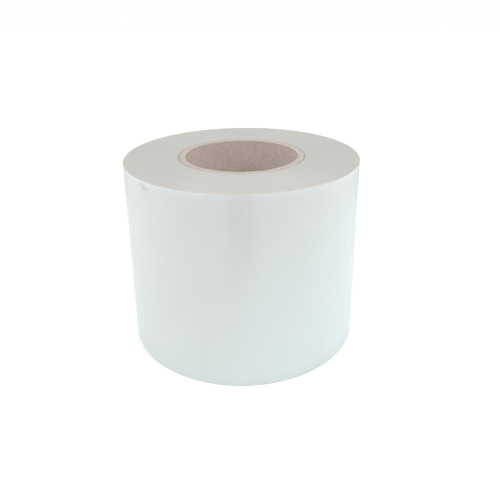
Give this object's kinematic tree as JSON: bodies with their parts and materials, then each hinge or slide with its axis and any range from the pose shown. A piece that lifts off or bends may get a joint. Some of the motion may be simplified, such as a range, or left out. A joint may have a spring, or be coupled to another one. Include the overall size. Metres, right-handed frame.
{
  "type": "sealing film roll",
  "caption": "Roll of clear sealing film wound flush on a spiral-wound paperboard core, standing on its end, with an open bore for a mandrel.",
  "frame": {"origin": "centre of the roll's lower end, on the surface that it stands on", "axes": "+Z along the roll's axis, upwards; +X to the right and +Y away as the roll is usually looked at"},
  "size_m": [0.157, 0.1569, 0.125],
  "materials": {
    "film": "gloss",
    "core_board": "matte"
  },
  "bodies": {
    "root": {"core_tube": "core_board", "film_winding": "film"}
  },
  "joints": []
}
